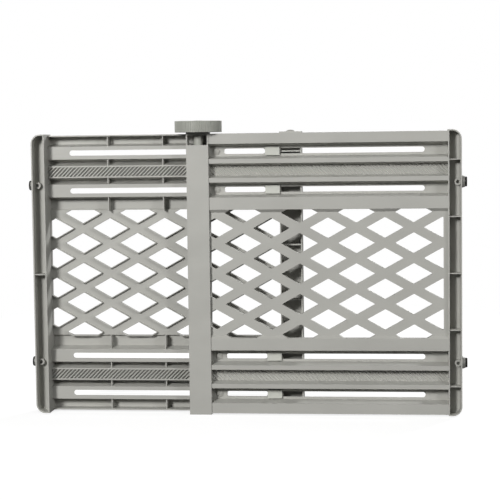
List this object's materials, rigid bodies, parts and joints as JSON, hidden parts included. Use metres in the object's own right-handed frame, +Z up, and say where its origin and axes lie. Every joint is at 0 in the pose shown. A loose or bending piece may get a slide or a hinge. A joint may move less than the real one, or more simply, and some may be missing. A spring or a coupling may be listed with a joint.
{
  "type": "pet gate",
  "caption": "Expanding pressure-mounted pet gate in grey plastic: two diamond-lattice panels that slide over each other, knob adjuster and rubber bumpers.",
  "frame": {"origin": "on the floor, below the middle of the gate's box as drawn: midway between the pad faces, and in line with the knob's axis from front to back", "axes": "+X to the right along the gate, seen from its front; +Y from the front panel to the rear panel; +Z up"},
  "size_m": [0.984, 0.105, 0.6586],
  "materials": {
    "panel_plastic": "satin moulded plastic, warm light grey",
    "guide_plastic": "smooth moulded plastic, pale grey",
    "knob_plastic": "satin moulded plastic, mid grey",
    "pad_rubber": "matt dark grey rubber",
    "steel": "plain drawn steel"
  },
  "bodies": {
    "front": {"front_panel": "panel_plastic", "front_guide_1": "guide_plastic", "front_guide_2": "guide_plastic", "front_guide_3": "guide_plastic", "front_guide_4": "guide_plastic", "front_guide_screws": "panel_plastic", "upper_bush": "guide_plastic", "lower_bush": "guide_plastic", "right_lower_bumper": "panel_plastic", "right_lower_pad": "pad_rubber", "right_lower_eye": "panel_plastic", "right_upper_bumper": "panel_plastic", "right_upper_pad": "pad_rubber", "right_upper_eye": "panel_plastic"},
    "rear": {"rear_panel": "panel_plastic", "rear_guide_1": "guide_plastic", "rear_guide_2": "guide_plastic", "rear_guide_3": "guide_plastic", "rear_guide_4": "guide_plastic", "rear_guide_screws": "panel_plastic", "post_cap": "panel_plastic", "left_lower_bumper": "panel_plastic", "left_lower_pad": "pad_rubber", "left_lower_eye": "panel_plastic", "left_upper_bumper": "panel_plastic", "left_upper_pad": "pad_rubber", "left_upper_eye": "panel_plastic"},
    "adjuster": {"knob": "knob_plastic", "knob_cap": "knob_plastic", "knob_screw": "steel", "spindle": "steel", "spindle_clip": "steel", "upper_pinion": "guide_plastic", "lower_pinion": "guide_plastic"}
  },
  "joints": [
    {"name": "panel_slide", "type": "slide", "parent": "front", "child": "rear", "axis": [-1, 0, 0], "range_m": [-0.319, 0.084]},
    {"name": "knob_turn", "type": "hinge", "parent": "front", "child": "adjuster", "pos_m": [-0.10225, 0, 0.6], "axis": [0, 0, 1], "range_deg": [-1450, 395]}
  ],
  "couplings": [
    {"joint": "knob_turn", "follows": "panel_slide", "rad_per_m": 78.442}
  ]
}
